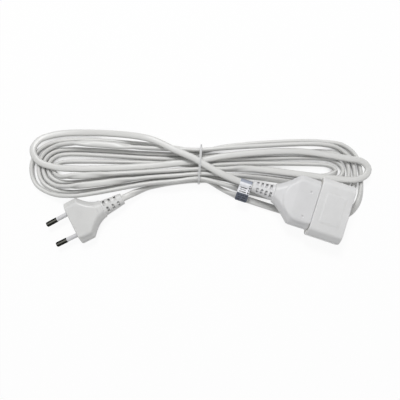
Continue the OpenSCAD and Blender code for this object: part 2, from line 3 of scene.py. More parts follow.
import bmesh
import bpy
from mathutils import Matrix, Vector


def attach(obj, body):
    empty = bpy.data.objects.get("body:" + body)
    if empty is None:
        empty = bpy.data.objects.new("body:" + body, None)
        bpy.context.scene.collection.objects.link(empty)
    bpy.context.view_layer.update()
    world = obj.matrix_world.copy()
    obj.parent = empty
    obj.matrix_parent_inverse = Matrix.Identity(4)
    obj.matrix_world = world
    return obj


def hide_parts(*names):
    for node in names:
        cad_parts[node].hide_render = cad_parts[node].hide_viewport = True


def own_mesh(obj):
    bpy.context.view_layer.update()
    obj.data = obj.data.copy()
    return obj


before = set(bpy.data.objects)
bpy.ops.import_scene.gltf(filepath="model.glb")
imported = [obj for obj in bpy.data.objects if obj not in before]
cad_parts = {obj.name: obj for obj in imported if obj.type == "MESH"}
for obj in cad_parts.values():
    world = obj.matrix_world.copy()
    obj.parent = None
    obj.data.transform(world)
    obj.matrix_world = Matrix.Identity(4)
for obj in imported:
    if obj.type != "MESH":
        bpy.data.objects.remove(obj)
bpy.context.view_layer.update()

MM = 0.001  # lengths are in millimetres, and Blender's are in metres
scene = bpy.context.scene
scene.view_settings.view_transform = "Standard"

# ---------------------------------------------------------------- camera
LOOK_AT = Vector((0.0005, 0.0096, 0.0))
CAMERA_AWAY, CAMERA_RISE, FIELD_OF_VIEW = 0.4, math.radians(85), math.radians(44.305)
cam = bpy.data.objects.new("camera", bpy.data.cameras.new("camera"))
scene.collection.objects.link(cam)
cam.location = LOOK_AT + CAMERA_AWAY * Vector((0, -math.cos(CAMERA_RISE), math.sin(CAMERA_RISE)))
cam.rotation_euler = (LOOK_AT - cam.location).to_track_quat("-Z", "Y").to_euler()
cam.data.sensor_fit = "HORIZONTAL"
cam.data.angle = FIELD_OF_VIEW
cam.data.clip_start, cam.data.clip_end = 0.01, 20
scene.camera = cam

# ---------------------------------------------------------------- sizes, as in the CAD source
CORD_W, CORD_T, CORD_FLAT = 5.4, 3.2, 2.6  # the flat stretch is between slanted edges
PLUG_W, PLUG_T, PLUG_CHAMFER, PLUG_L, PLUG_RELIEF = 35.3, 13.7, 4.65, 27, 17
REAR_W, REAR_T, REAR_CHAMFER, REAR_L, REAR_RELIEF = 40, 17, 4.3, 33, 17.4
COLLAR_W, COLLAR_T, COLLAR_CHAMFER, COLLAR_L = 47, 18.6, 4.7, 26.6
RECESS_L, PLUG_GAP = 13, 0.6               # the gap goes round the plug's face
LABEL_L, LABEL_ROOM = 9.6, 0.7             # the room is on each side of it
PLATE_L, SHUTTER_T, SNUG, SLIDE_GAP = 2, 1.4, 0.15, 0.15
SPRING_FOOT, SPRING_L, SHUTTER_TRAVEL = -6.92, 10.52, 4.42
PLUG_AT, PLUG_YAW = (-100.55, -10.15, 6.85), 207.5
COLLAR_AT, SOCKET_YAW = (89.9, 3.8, 13.2), -18.4
TIE_AT, TIE_YAW = (0.5, 37.5, 0.0), -4
PLUG_BACK = PLUG_L + PLUG_RELIEF           # from the face to the cord
SOCKET_BACK = REAR_L + REAR_RELIEF         # from the collar to the cord
# The dressed cord has round edges. This is from its middle to the middle of each.
SHEATH_EDGE = CORD_W / 2 - CORD_T / 2

# ---------------------------------------------------------------- the cord's route
# Rings at the same points as the CAD source's: (x, y, z, lean). A lean of 0 lies flat and 90
# stands on edge.
STRAND_GAP, FLOOR_RAISE = 0.5, 0.8
PITCH = CORD_T + 0.65                      # between strands side by side at the tie
FLAT = CORD_T / 2                          # height of a strand flat on the floor
LOW = CORD_W / 2                           # on edge on the floor
HIGH = LOW + CORD_W + STRAND_GAP           # on edge on top of that
TOP = CORD_W + STRAND_GAP + CORD_T / 2     # flat on one strand that stands on edge
OVER = HIGH + LOW + STRAND_GAP + CORD_T / 2  # flat on two of them
# Passes through the tie: (column, height, lean)
PASSES = [(6.3, LOW, 90), (0, LOW, 90), (6, HIGH, 90), (0, HIGH, 90), (5, LOW, 90), (1, LOW, 90),
          (5, HIGH, 90), (2, LOW, 90), (4, LOW, 90), (3, LOW, 90), (4, HIGH, 90),
          (2.2, TOP, 0), (2.7, OVER, 0)]
# Bends: (y in, y out, upper edge, lower edge, reach, middle, roundness, x out)
RIGHT = [(-29, 19.3, 19.7, -44, 130.8, 98, 2.6, 61), (-21.6, 14.6, 16.1, -34, 125.8, 99, 2.25, 42),
         (-15.4, 9.6, 11.4, -24, 121.1, 100, 2.25, 42), (-9.2, 5.6, 6, -15.4, 116.4, 98, 1.95, 42),
         (-3.2, 1.6, 0.8, -9.2, 110.5, 98, 1.85, 42), (-3.5, 10.7, 4.4, -12.4, 135.2, 121.5, 2, 78)]
LEFT = [(17.4, -15.6, 20.9, -25.4, 136.8, 102, 2.36, 42), (13.2, -13.4, 17.1, -21.6, 130.9, 104, 2.35, 42),
        (9.9, -10.6, 13.2, -17.7, 127.1, 106, 2.27, 42), (6.1, -6.8, 9.1, -13.8, 123.2, 108, 2.13, 42),
        (2.3, -6, 2.9, -9.8, 118.7, 109, 1.95, 42), (-1.2, 20.4, 27.2, -3.4, 134.8, 97, 2.4, 42)]
NEAR_X, FAR_X = 20, 42                     # from the tie to where the strands fan out
LAST = 5                                   # the turn that lies on the others
SLANT = 60                                 # lean of the right strands that stay half on edge
HUMP = 13.2                                # height of the last strand where it leaves its bend
LAST_WAY = (0.86, -0.51, 0)                # the way that strand crosses the tie
# Rings on the plug's lead, and one between the tie and the label
LEAD_RINGS = [(-49.5, 16, 4.9, 50), (-41.5, 19, 3, 90), (-30.5, 21.5, 3.1, 90), (-19.5, 23.3, 3.4, 90)]
LABEL_RING = (17.5, 29, 14.4, 0)


def pass_y(p):
    """How far to the side a pass lies from the tie's middle."""
    return PITCH * (3 - p[0])


def half_height(lean):
    """Height of the cord's middle where it leans on the floor."""
    s, c = math.sin(math.radians(lean)), math.cos(math.radians(lean))
    return max(CORD_W / 2 * s, CORD_FLAT / 2 * s + CORD_T / 2 * c)


def bend_point(bend, a):
    """Point of a bend's rounded outline at a degrees."""
    upper, lower, reach, middle, roundness = bend[2:7]
    s, c = math.sin(math.radians(a)), math.cos(math.radians(a))
    cy, ry = (upper + lower) / 2, (upper - lower) / 2
    return (middle + (reach - middle) * max(c, 0) ** (2 / roundness),
            cy + ry * math.copysign(abs(s) ** (2 / roundness), s))


def height_share(a):
    """How much of a pass's height a bend still has at a degrees."""
    return 1 if abs(a) > 75 else 0.2 if abs(a) > 45 else 0


def bend_height(side, turn, a, p):
    """Height and lean of a bend at a degrees, next to pass p."""
    if turn == LAST:
        if side > 0:
            return TOP, 0
        return (TOP if a < 15 else 5 if a < 45 else 3 if a < 75 else 2.6), 0
    if side > 0:
        lean = 0 if a < -45 else 30 if a < -15 else 70 if a < 15 else 90
        lift = (p[1] - LOW) * height_share(a) if a > 0 else 0
        return (FLAT if a < -45 else half_height(lean)) + lift, lean
    return LOW + (p[1] - LOW) * height_share(a), 90


def far_height(side, turn, p, outgoing):
    """Height and lean where the strands have fanned out."""
    if side > 0 and not outgoing:
        return (TOP, 0) if turn == LAST else (FLAT, 0) if turn < 3 else (half_height(SLANT), SLANT)
    if side < 0 and outgoing and turn == LAST:
        return HUMP, 0
    return p[1], p[2]


def half_turn(turn, side):
    """Rings from one pass through the tie round a bend to just before the next pass."""
    b = RIGHT[turn] if side > 0 else LEFT[turn]
    y_in, y_out, x_out = b[0], b[1], b[7]
    first = 2 * turn + (0 if side > 0 else 1)
    start, end = PASSES[first], PASSES[first + 1]
    y0, y1 = pass_y(start), pass_y(end)
    way = 1 if side > 0 or turn == LAST else -1
    h_in, h_out = far_height(side, turn, start, False), far_height(side, turn, end, True)
    rings = [(0, y0, start[1] + FLOOR_RAISE, start[2]),
             (side * NEAR_X, (y0 + y_in) / 2, start[1] + FLOOR_RAISE, start[2]),
             (side * FAR_X, y_in, *h_in)]
    for k in range(-90, 91, 30):
        x, y = bend_point(b, k * way)
        rings.append((side * x, y, *bend_height(side, turn, k * way, end if k > 0 else start)))
    return rings + [(side * x_out, y_out, *h_out),
                    (side * NEAR_X, (y1 + y_out) / 2, end[1] + FLOOR_RAISE, end[2])]


def placed(at, yaw, p):
    """A point p of a body, turned by yaw degrees and moved to at."""
    c, s = math.cos(math.radians(yaw)), math.sin(math.radians(yaw))
    return (at[0] + p[0] * c - p[1] * s, at[1] + p[0] * s + p[1] * c, at[2] + p[2])


def cord_rings():
    """Every ring of the cord from the plug's strain relief to the socket's."""
    turns = [r for t in range(LAST + 1) for side in (1, -1) for r in half_turn(t, side)]
    end = PASSES[-1]
    step = [CORD_W * v / math.hypot(*LAST_WAY) for v in LAST_WAY]
    tail = (0, pass_y(end), end[1] + FLOOR_RAISE)
    hank = [turns[0], (CORD_W, turns[0][1], turns[0][2], 90)] + turns[1:]
    hank += [tuple(t - s for t, s in zip(tail, step)) + (0,), tail + (0,),
             tuple(t + s for t, s in zip(tail, step)) + (0,)]
    hank = [(x + TIE_AT[0], y + TIE_AT[1], z + TIE_AT[2], a) for x, y, z, a in hank]
    plug = [placed(PLUG_AT, PLUG_YAW, (-PLUG_BACK, 0, 0)) + (0,),
            placed(PLUG_AT, PLUG_YAW, (-PLUG_BACK - CORD_W, 0, 0)) + (0,),
            *LEAD_RINGS, (hank[0][0] - CORD_W, hank[0][1], hank[0][2], 90)]
    socket = [LABEL_RING,
              placed(COLLAR_AT, SOCKET_YAW, (-SOCKET_BACK - LABEL_L - 2 * LABEL_ROOM, 0, 0)) + (0,),
              placed(COLLAR_AT, SOCKET_YAW, (-SOCKET_BACK, 0, 0)) + (0,)]
    return plug + hank + socket


def ease(a, b, x):
    """From 0 at a to 1 at b, with soft ends."""
    t = min(max((x - a) / (b - a), 0), 1)
    return t * t * (3 - 2 * t)


# Upper strands of the left loops that roll over and lie flat: ring, then where in the span
# after it they start to roll, lie flat, start to roll back and stand on edge again
ROLLS = ((46, 0.12, 0.45, 0.66, 0.98), (77, 0.02, 0.32, 0.5, 0.85), (125, 0.02, 0.3, 0.34, 0.62))


def settled(at):
    """Share of the lean that is left at a place along the rings."""
    share = 1.0
    for ring, a, b, c, d in ROLLS:
        share -= ease(a, b, at - ring) * (1 - ease(c, d, at - ring)) if 0 < at - ring < 1 else 0
    return share


def between(a, b, t0, t1, t):
    """The point at t on the line from a, at t0, to b, at t1."""
    return tuple(u * (t1 - t) / (t1 - t0) + v * (t - t0) / (t1 - t0) for u, v in zip(a, b))


def smooth_route(rings, step):
    """A centripetal curve through all the rings, in steps of about step mm."""
    before = tuple(2 * a - b for a, b in zip(rings[0], rings[1]))
    after = tuple(2 * a - b for a, b in zip(rings[-1], rings[-2]))
    p, out = [before, *rings, after], []
    for i in range(1, len(p) - 2):
        q = p[i - 1:i + 3]
        k = [0.0]
        for a, b in zip(q, q[1:]):
            k.append(k[-1] + math.dist(a[:3], b[:3]) ** 0.5)
        count = max(2, round(math.dist(q[1][:3], q[2][:3]) / step))
        for j in range(count):
            t = k[1] + (k[2] - k[1]) * j / count
            a1, a2, a3 = (between(q[n], q[n + 1], k[n], k[n + 1], t) for n in range(3))
            b1, b2 = between(a1, a2, k[0], k[2], t), between(a2, a3, k[1], k[3], t)
            r = between(b1, b2, k[1], k[2], t)
            out.append((r[0], r[1], r[2], min(max(r[3], 0), 90) * settled(i - 1 + j / count)))
    return out + [rings[-1]]


def fit_to_floor(route):
    """Keeps the cord on or over the floor, whatever its lean, and evens its height out."""
    rows, reach = [list(r) for r in route], 3
    for r in rows:
        r[2] = max(r[2], SHEATH_EDGE * math.sin(math.radians(r[3])) + CORD_T / 2)
    z = [r[2] for r in rows]
    for i in range(reach, len(rows) - reach):
        rows[i][2] = sum(z[i - reach:i + reach + 1]) / (2 * reach + 1)
    return rows


# ---------------------------------------------------------------- mesh tools
def add_mesh(name, verts, faces, sharp, uvs=None, merge=0.0):
    """A new object from points in metres. Edges of more than sharp degrees stay sharp, uvs
    holds a pair for each point, and points closer than merge become one."""
    mesh = bpy.data.meshes.new(name)
    mesh.from_pydata([tuple(v) for v in verts], [], faces)
    if uvs:
        layer = mesh.uv_layers.new(name="UVMap")
        for loop in mesh.loops:
            layer.data[loop.index].uv = uvs[loop.vertex_index]
    mesh.validate()
    bm = bmesh.new()
    bm.from_mesh(mesh)
    bmesh.ops.recalc_face_normals(bm, faces=bm.faces)
    if merge:
        bmesh.ops.remove_doubles(bm, verts=bm.verts, dist=merge)
    bm.to_mesh(mesh)
    bm.free()
    mesh.polygons.foreach_set("use_smooth", [True] * len(mesh.polygons))
    mesh.set_sharp_from_angle(angle=math.radians(sharp))
    obj = bpy.data.objects.new(name, mesh)
    scene.collection.objects.link(obj)
    return obj


def ring_faces(rows, m, closed=False):
    """Faces between rings of m points each, in order."""
    faces = []
    for i in range(rows if closed else rows - 1):
        a, b = i * m, (i + 1) % rows * m
        for j in range(m):
            k = (j + 1) % m
            faces.append((a + j, a + k, b + k, b + j))
    return faces


def mark_edges(obj):
    """Stores how convex each point is as the attribute "edge": 0.5 is flat, 1 is a corner."""
    rounds, gain = 2, 4
    mesh = obj.data
    bm = bmesh.new()
    bm.from_mesh(mesh)
    value = []
    for v in bm.verts:
        turns = [e.calc_face_angle_signed(0.0) for e in v.link_edges if len(e.link_faces) == 2]
        value.append(sum(turns) / max(len(turns), 1))
    for _ in range(rounds):
        value = [(value[v.index] + sum(value[e.other_vert(v).index] for e in v.link_edges))
                 / (1 + len(v.link_edges)) for v in bm.verts]
    bm.free()
    layer = mesh.attributes.new("edge", "FLOAT", "POINT")
    for i, a in enumerate(value):
        layer.data[i].value = min(max(0.5 + gain * a, 0), 1)


# ---------------------------------------------------------------- materials
class Nodes:
    """Short names for building one material."""

    def __init__(self, name):
        self.mat = bpy.data.materials.new(name)
        self.mat.use_nodes = True
        self.tree = self.mat.node_tree
        self.tree.nodes.clear()
        self.out = self.add("ShaderNodeOutputMaterial")
        self.bsdf = self.add("ShaderNodeBsdfPrincipled")
        self.link(self.bsdf.outputs[0], self.out.inputs[0])
        self.coord = self.add("ShaderNodeTexCoord")

    def add(self, kind, **settings):
        """A new node with the given settings."""
        node = self.tree.nodes.new(kind)
        for key, value in settings.items():
            setattr(node, key, value)
        return node

    def link(self, a, b):
        """Links an output to an input."""
        self.tree.links.new(a, b)

    def noise(self, scale, detail, rough, vector=None, stretch=None):
        """Noise on the object's own coordinates, or on the given ones."""
        n = self.add("ShaderNodeTexNoise")
        n.inputs["Scale"].default_value = scale
        n.inputs["Detail"].default_value = detail
        n.inputs["Roughness"].default_value = rough
        source = vector or self.coord.outputs["Object"]
        if stretch:
            m = self.add("ShaderNodeMapping")
            m.inputs["Scale"].default_value = stretch
            self.link(source, m.inputs[0])
            source = m.outputs[0]
        self.link(source, n.inputs["Vector"])
        return n.outputs["Fac"]

    def span(self, value, a, b, c, d):
        """A value of a to b mapped to c to d, and clamped."""
        m = self.add("ShaderNodeMapRange")
        for key, x in zip(("From Min", "From Max", "To Min", "To Max"), (a, b, c, d)):
            m.inputs[key].default_value = x
        self.link(value, m.inputs["Value"])
        return m.outputs["Result"]

    def calc(self, op, a, b=None):
        """A Math node on one or two values."""
        m = self.add("ShaderNodeMath", operation=op)
        for socket, x in zip(m.inputs, (a, b)):
            if isinstance(x, (int, float)):
                socket.default_value = x
            elif x is not None:
                self.link(x, socket)
        return m.outputs[0]

    def mix(self, factor, a, b):
        """Colour a at factor 0 and b at 1."""
        m = self.add("ShaderNodeMix", data_type="RGBA")
        for socket, x in ((m.inputs[0], factor), (m.inputs[6], a), (m.inputs[7], b)):
            if isinstance(x, (int, float)):
                socket.default_value = x
            elif isinstance(x, (tuple, list)):
                socket.default_value = (*x[:3], 1)
            else:
                self.link(x, socket)
        return m.outputs[2]

    def bump(self, height, strength, distance, after=None):
        """A bump of distance metres, on top of an earlier one."""
        b = self.add("ShaderNodeBump")
        b.inputs["Strength"].default_value = strength
        b.inputs["Distance"].default_value = distance
        self.link(height, b.inputs["Height"])
        if after:
            self.link(after, b.inputs["Normal"])
        return b.outputs[0]

    def set(self, **values):
        """Sets or links the shader's sockets, with _ for a space in their names."""
        for key, x in values.items():
            socket = self.bsdf.inputs[key.replace("_", " ")]
            if isinstance(x, (int, float)):
                socket.default_value = x
            elif isinstance(x, (tuple, list)):
                socket.default_value = (*x, 1) if socket.type == "RGBA" and len(x) == 3 else x
            else:
                self.link(x, socket)


def rgb(r, g, b):
    """An sRGB colour of 0 to 255 as linear numbers."""
    return tuple(v / 255 / 12.92 if v < 11 else ((v / 255 + 0.055) / 1.055) ** 2.4 for v in (r, g, b))


def scaled(c, k):
    """A colour k times as bright, short of white."""
    return tuple(min(x * k, 0.95) for x in c)


def plastic(name, colour, rough=0.42, spread=0.08, grain=2200, tone=0.035, coat=0.12, marks=True):
    """Moulded plastic: a fine grain, faint cloudy tone, a painted highlight on convex edges and painted
    shade in the hollows.
    """
    n = Nodes(name)
    cloud = n.noise(70, 4, 0.6)
    fine = n.noise(grain, 2, 0.5)
    base = n.mix(n.span(cloud, 0.3, 0.7, 0, 1), scaled(colour, 1 - tone), scaled(colour, 1 + tone))
    speck = n.span(n.noise(900, 3, 0.7), 0.66, 0.74, 0, 0.10)
    base = n.mix(speck, base, scaled(colour, 0.62))
    patchiness = n.span(n.noise(260, 4, 0.65), 0.35, 0.75, 0.25, 1)
    # Painted highlight on convex edges and painted shade in the hollows, from the "edge" attribute, in
    # patches
    if marks:
        edge = n.add("ShaderNodeAttribute", attribute_name="edge").outputs["Fac"]
        edge_highlight = n.calc("MULTIPLY", n.span(edge, 0.55, 0.95, 0, 0.35), patchiness)
        hollow_shade = n.calc("MULTIPLY", n.span(edge, 0.1, 0.45, 0.5, 0), patchiness)
        base = n.mix(edge_highlight, base, scaled(colour, 1.10))
        base = n.mix(hollow_shade, base, scaled(colour, 0.66))
    smear = n.noise(140, 5, 0.62, stretch=(1, 2.4, 1))
    n.set(Base_Color=base, Roughness=n.span(smear, 0.25, 0.75, rough - spread, rough + spread),
          IOR=1.52, Coat_Weight=coat, Coat_Roughness=0.3, Subsurface_Weight=0.06,
          Subsurface_Scale=0.0012, Subsurface_Radius=(1.0, 0.95, 0.85))
    n.set(Normal=n.bump(n.noise(420, 3, 0.55), 0.10, 0.0001, n.bump(fine, 0.32, 0.00003)))
    return n.mat


def sheath(name, colour):
    """Extruded PVC: fine lines along the cord, a soft waviness and faint handling marks."""
    n = Nodes(name)
    uv = n.coord.outputs["UV"]
    cloud = n.noise(22, 4, 0.6, uv, (1, 0.4, 1))
    lines = n.noise(1, 3, 0.6, uv, (14, 42, 1))
    fine = n.noise(2600, 2, 0.5)
    base = n.mix(n.span(cloud, 0.3, 0.7, 0, 1), scaled(colour, 0.955), scaled(colour, 1.03))
    base = n.mix(n.span(lines, 0.35, 0.7, 0, 0.16), base, scaled(colour, 0.86))
    base = n.mix(n.span(n.noise(380, 4, 0.7), 0.62, 0.78, 0, 0.16), base, scaled(colour, 0.72))
    n.set(Base_Color=base, Roughness=n.span(n.noise(110, 5, 0.6), 0.25, 0.75, 0.34, 0.5), IOR=1.52,
          Coat_Weight=0.18, Coat_Roughness=0.28, Subsurface_Weight=0.05, Subsurface_Scale=0.001,
          Subsurface_Radius=(1.0, 0.95, 0.85))
    wave = n.noise(190, 2, 0.5)
    n.set(Normal=n.bump(wave, 0.12, 0.0003, n.bump(lines, 0.18, 0.00005, n.bump(fine, 0.2, 0.00002))))
    return n.mat


def metal(name, colour, rough, stretch, tarnish=None, rim=(1, 1, 1), print_wear_and_crest_highlight=None):
    """Drawn or plated metal with fine scratches and a cloudy tarnish. A level rod can have a painted
    highlight along its top and bottom crests: (height of its axis, first and full reach in mm, colour)."""
    n = Nodes(name)
    scratch = n.noise(900, 4, 0.7, stretch=stretch)
    cloud = n.noise(300, 4, 0.6)
    base = n.mix(n.span(cloud, 0.35, 0.7, 0, 0.55), colour, tarnish or scaled(colour, 0.7))
    base = n.mix(n.span(scratch, 0.55, 0.75, 0, 0.4), base, scaled(colour, 1.12))
    # Painted highlight along the top and bottom crests of a level rod, where a lamp would be reflected
    if print_wear_and_crest_highlight:
        level, near, full, bright = print_wear_and_crest_highlight
        split = n.add("ShaderNodeSeparateXYZ")
        n.link(n.coord.outputs["Object"], split.inputs[0])
        reach = n.calc("ABSOLUTE", n.calc("SUBTRACT", split.outputs[2], level * MM))
        base = n.mix(n.span(reach, near * MM, full * MM, 0, 1), base, bright)
    n.set(Base_Color=base, Metallic=1.0, Roughness=n.span(scratch, 0.3, 0.7, rough - 0.07, rough + 0.10),
          Specular_Tint=rim, Normal=n.bump(scratch, 0.25, 0.00002))
    return n.mat


sheath_mat = sheath("cord_sheath", rgb(214, 214, 212))
plug_mat = plastic("plug_moulding", rgb(211, 211, 210))
socket_mat = plastic("socket_moulding", rgb(216, 216, 217))
collar_mat = plastic("collar_moulding", rgb(219, 219, 219), grain=1700)
insert_mat = plastic("insert_plastic", rgb(214, 213, 208), rough=0.36, marks=False)
bridge_mat = plastic("bridge_plastic", rgb(206, 205, 198), rough=0.5, marks=False)
shutter_mat = plastic("shutter_plastic", rgb(200, 204, 205), rough=0.3, marks=False)
sleeve_mat = plastic("pin_insulation", rgb(212, 212, 214), rough=0.3, spread=0.05, coat=0.3, marks=False)
brown_mat = plastic("core_brown", rgb(112, 66, 40), rough=0.4, marks=False, tone=0.08)
blue_mat = plastic("core_blue", rgb(58, 98, 168), rough=0.4, marks=False, tone=0.08)
# The pins' nickel is painted near black, a painted dark reflection of the surroundings, with a painted
# highlight along their crests
pin_mat = metal("pin_nickel", rgb(34, 34, 31), 0.2, (0.12, 1, 1), rgb(14, 14, 12), rim=(0.2, 0.2, 0.2),
                print_wear_and_crest_highlight=(PLUG_AT[2], 1.88, 1.99, rgb(104, 104, 98)))
brass_mat = metal("contact_brass", rgb(206, 170, 96), 0.28, (0.3, 1, 1), rgb(150, 112, 56))
steel_mat = metal("spring_steel", rgb(176, 177, 180), 0.3, (1, 1, 0.3))

# ---------------------------------------------------------------- the cord
ROUTE_STEP = 2.0
EDGE_POINTS = 8     # on each round edge of the sheath


def make_cord(route, points):
    """The flat sheath from the plug's strain relief to the socket's, as one skin."""
    edge = CORD_T / 2
    section = [(math.copysign(SHEATH_EDGE, 0.5 - k) + edge * math.cos(a), edge * math.sin(a))
               for k in (0, 1)
               for a in [math.pi * (j / (EDGE_POINTS - 1) - 0.5 + k) for j in range(EDGE_POINTS)]]
    m = len(section)
    verts, uvs, along = [], [], 0.0
    for i, p in enumerate(points):
        d = (points[min(i + 1, len(points) - 1)] - points[max(i - 1, 0)]).normalized()
        side = Vector((-d.y, d.x, 0)).normalized()
        up = d.cross(side)
        lean = math.radians(route[i][3])
        wide = side * math.cos(lean) + up * math.sin(lean)
        thick = up * math.cos(lean) - side * math.sin(lean)
        if i:
            along += (p - points[i - 1]).length
        for j, (u, v) in enumerate(section):
            verts.append((p + wide * u + thick * v) * MM)
            uvs.append((along * MM, j / m))
    caps = [tuple(range(m - 1, -1, -1)), tuple(range(len(verts) - m, len(verts)))]
    obj = add_mesh("cord", verts, ring_faces(len(points), m) + caps, sharp=60, uvs=uvs)
    obj.data.materials.append(sheath_mat)
    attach(obj, "root")
    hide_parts("plug_lead", "hank", "connector_lead")
    return obj


rings = cord_rings()
route = fit_to_floor(smooth_route(rings, ROUTE_STEP))
points = [Vector(r[:3]) for r in route]
cord = make_cord(route, points)

# ---------------------------------------------------------------- moulded bodies
CORNER_STEPS, SLOPE_STEPS = 5, 5    # in each corner's arc and along each slanted edge
SIDE_CUTS = [0.2, 0.4, 0.46, 0.485, 0.5, 0.515, 0.54, 0.6, 0.8]  # close together at the seam
CHAMFER_LOSS = 0.586                # what a chamfer loses when its outline moves in by 1
SHARPEST = 0.15


def toward(q, p, cut):
    """The point cut mm from q on the way to p, and never as far as half way."""
    k = min(cut / math.dist(p, q), 0.45)
    return tuple(a + (b - a) * k for a, b in zip(q, p))


def corner(before, q, after, cut):
    """The corner at q, rounded from cut mm before it to cut mm after it."""
    a, b = toward(q, before, cut), toward(q, after, cut)
    out = []
    for k in range(CORNER_STEPS + 1):
        s = k / CORNER_STEPS
        out.append(tuple((1 - s) ** 2 * u + 2 * s * (1 - s) * v + s * s * w
                         for u, v, w in zip(a, q, b)))
    return out


def hexagon(w, t, chamfer, cut, top, seam=0.0):
    """Rounded outline with slanted edges and a seam along both sides. Outlines with as many
    steps along the top have the same number of points."""
    a, h = w / 2, t / 2
    f, e = a - chamfer, max(h - chamfer, 0.3)
    corners = [(a, -e), (a, e), (f, h), (-f, h), (-a, e), (-a, -e), (-f, -h), (f, -h)]
    slope, flat = ([k / n for k in range(1, n)] for n in (SLOPE_STEPS, top))
    cuts = [SIDE_CUTS, slope, flat, slope, SIDE_CUTS, slope, flat, slope]
    out = []
    for i, q in enumerate(corners):
        after = corners[(i + 1) % 8]
        out += corner(corners[i - 1], q, after, cut)
        p, r = toward(q, after, cut), toward(after, q, cut)
        for s in cuts[i]:
            y, z = p[0] * (1 - s) + r[0] * s, p[1] * (1 - s) + r[1] * s
            if cuts[i] is SIDE_CUTS and s == 0.5:
                y += math.copysign(seam, y)
            out.append((y, z))
    return out


def inset(w, t, chamfer, cut, d, top, seam=0.0):
    """The same outline d mm further in. The seam is only on outlines that haven't moved in."""
    return hexagon(w - 2 * d, t - 2 * d, chamfer - CHAMFER_LOSS * d, max(cut - 0.4 * d, SHARPEST),
                   top, seam if d < 0.01 else 0)


def roundover(r, x):
    """How far an edge of radius r has turned in at x mm before its end."""
    return r - math.sqrt(max(r * r - (r - x) ** 2, 0)) if x < r else 0.0


def build(name, at, yaw, sections, shape, mat, node=(), closed=False, sharp=38):
    """A skin through outlines [(x, [(y, z)...])...], placed by at and yaw. Its ends are capped,
    or joined where it is closed, and shape can move each point."""
    m = len(sections[0][1])
    rows = [[(x, y, z) for y, z in ring] for x, ring in sections]
    if shape:
        rows = [[shape(*p) for p in row] for row in rows]
    if not closed:
        for end in (0, -1):
            x = rows[end][0][0]
            caps = [[(x, y * k, z * k) for _, y, z in rows[end]] for k in (0.97, 0.8, 0.4)]
            rows = caps[::-1] + rows if end == 0 else rows + caps
    verts = [Vector(placed(at, yaw, p)) * MM for row in rows for p in row]
    faces = ring_faces(len(rows), m, closed)
    if not closed:
        faces += [tuple(range(m)), tuple(range(len(verts) - m, len(verts)))]
    obj = add_mesh(name, verts, faces, sharp, merge=2e-6)
    mark_edges(obj)
    obj.data.materials.append(mat)
    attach(obj, "root")
    if node:
        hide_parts(*node)
    return obj


END_MARKS = (0, 0.03, 0.1, 0.22, 0.4, 0.62, 0.85, 1.1)  # sections round the lips
NECK_LIP, SECTION_STEP, SEAM = 0.8, 0.4, 0.07


def grip_sections(w, t, chamfer, grip, length, neck_w, neck_t, lip, cut, top, drop, hollow, soften):
    """Sections of a grip from the neck to the face at x = 0. It is straight for the length
    grip, and then its flanks curve in to the neck: hollow is the power of that curve, and
    soften spreads its start."""
    def narrowing(s):
        return min(max((s - grip) / (length - grip), 0), 1)

    def width(s):
        return neck_w + (w - neck_w) * (1 - narrowing(s)) ** hollow

    def soft_width(s):
        return sum(width(s + soften * o) for o in (-3, -2, -1, 0, 1, 2, 3)) / 7
    first = END_MARKS[-1]
    count = int((length - first - 0.5) / SECTION_STEP)
    places = sorted({round(v, 3) for v in END_MARKS}
                    | {round(length - v * NECK_LIP, 3) for v in END_MARKS}
                    | {round(first + SECTION_STEP * k, 3) for k in range(count)})
    out = []
    for s in reversed(places):
        thick = t + (neck_t + 2 * drop - t) * narrowing(s)
        wide = soft_width(s)
        d = roundover(lip, s) + roundover(NECK_LIP, length - s)
        edge = min(chamfer, wide * 0.3, thick * 0.33)
        out.append((-s, inset(wide, thick, edge, cut, d, top, SEAM)))
    return out


def plateau(centre, radius, drop, half):
    """Lowers the top and the bottom a little outside a round edge."""
    inside, outside = radius - 0.5, radius + 1.1

    def shape(x, y, z):
        r = math.hypot(x - centre, y)
        return x, y, z * (1 - drop / half * ease(inside, outside, r))
    return shape


# The strain reliefs. A slot's floor is LID high over the cores, from SPINE out to DEEP, and
# WEB high beside them, out to RIM from the edge. The slots on one side of the middle are
# further from the body than those on the other by STAGGER of their pitch.
RELIEF_W, RELIEF_T = (12.8, 9.2), (9.6, 7.2)   # at the body and at the cord
SPINE, DEEP, LID, WEB, RIM = 0.8, 2.8, 2.15, 0.5, 1.0
FIRST_SLOT, SLOT_HALF, STAGGER = 2.4, 0.95, 0.25
UNSLOTTED = 3                                  # length of a relief that holds no slots
SLOT_MARKS = (0.3, 0.6, 0.85, 0.98, 1, 1.02, 1.1, 1.25)  # sections from a slot's middle out
TIP_MARKS = (0.03, 0.12, 0.28, 0.5)            # sections round the lip at the cord
WALL = 0.05                                    # between the points of a slot's wall
# Which points of a half section are lowered, counted from the middle out
LID_POINTS, WEB_POINTS, DISH_FROM = range(6, 9), range(9, 13), 5


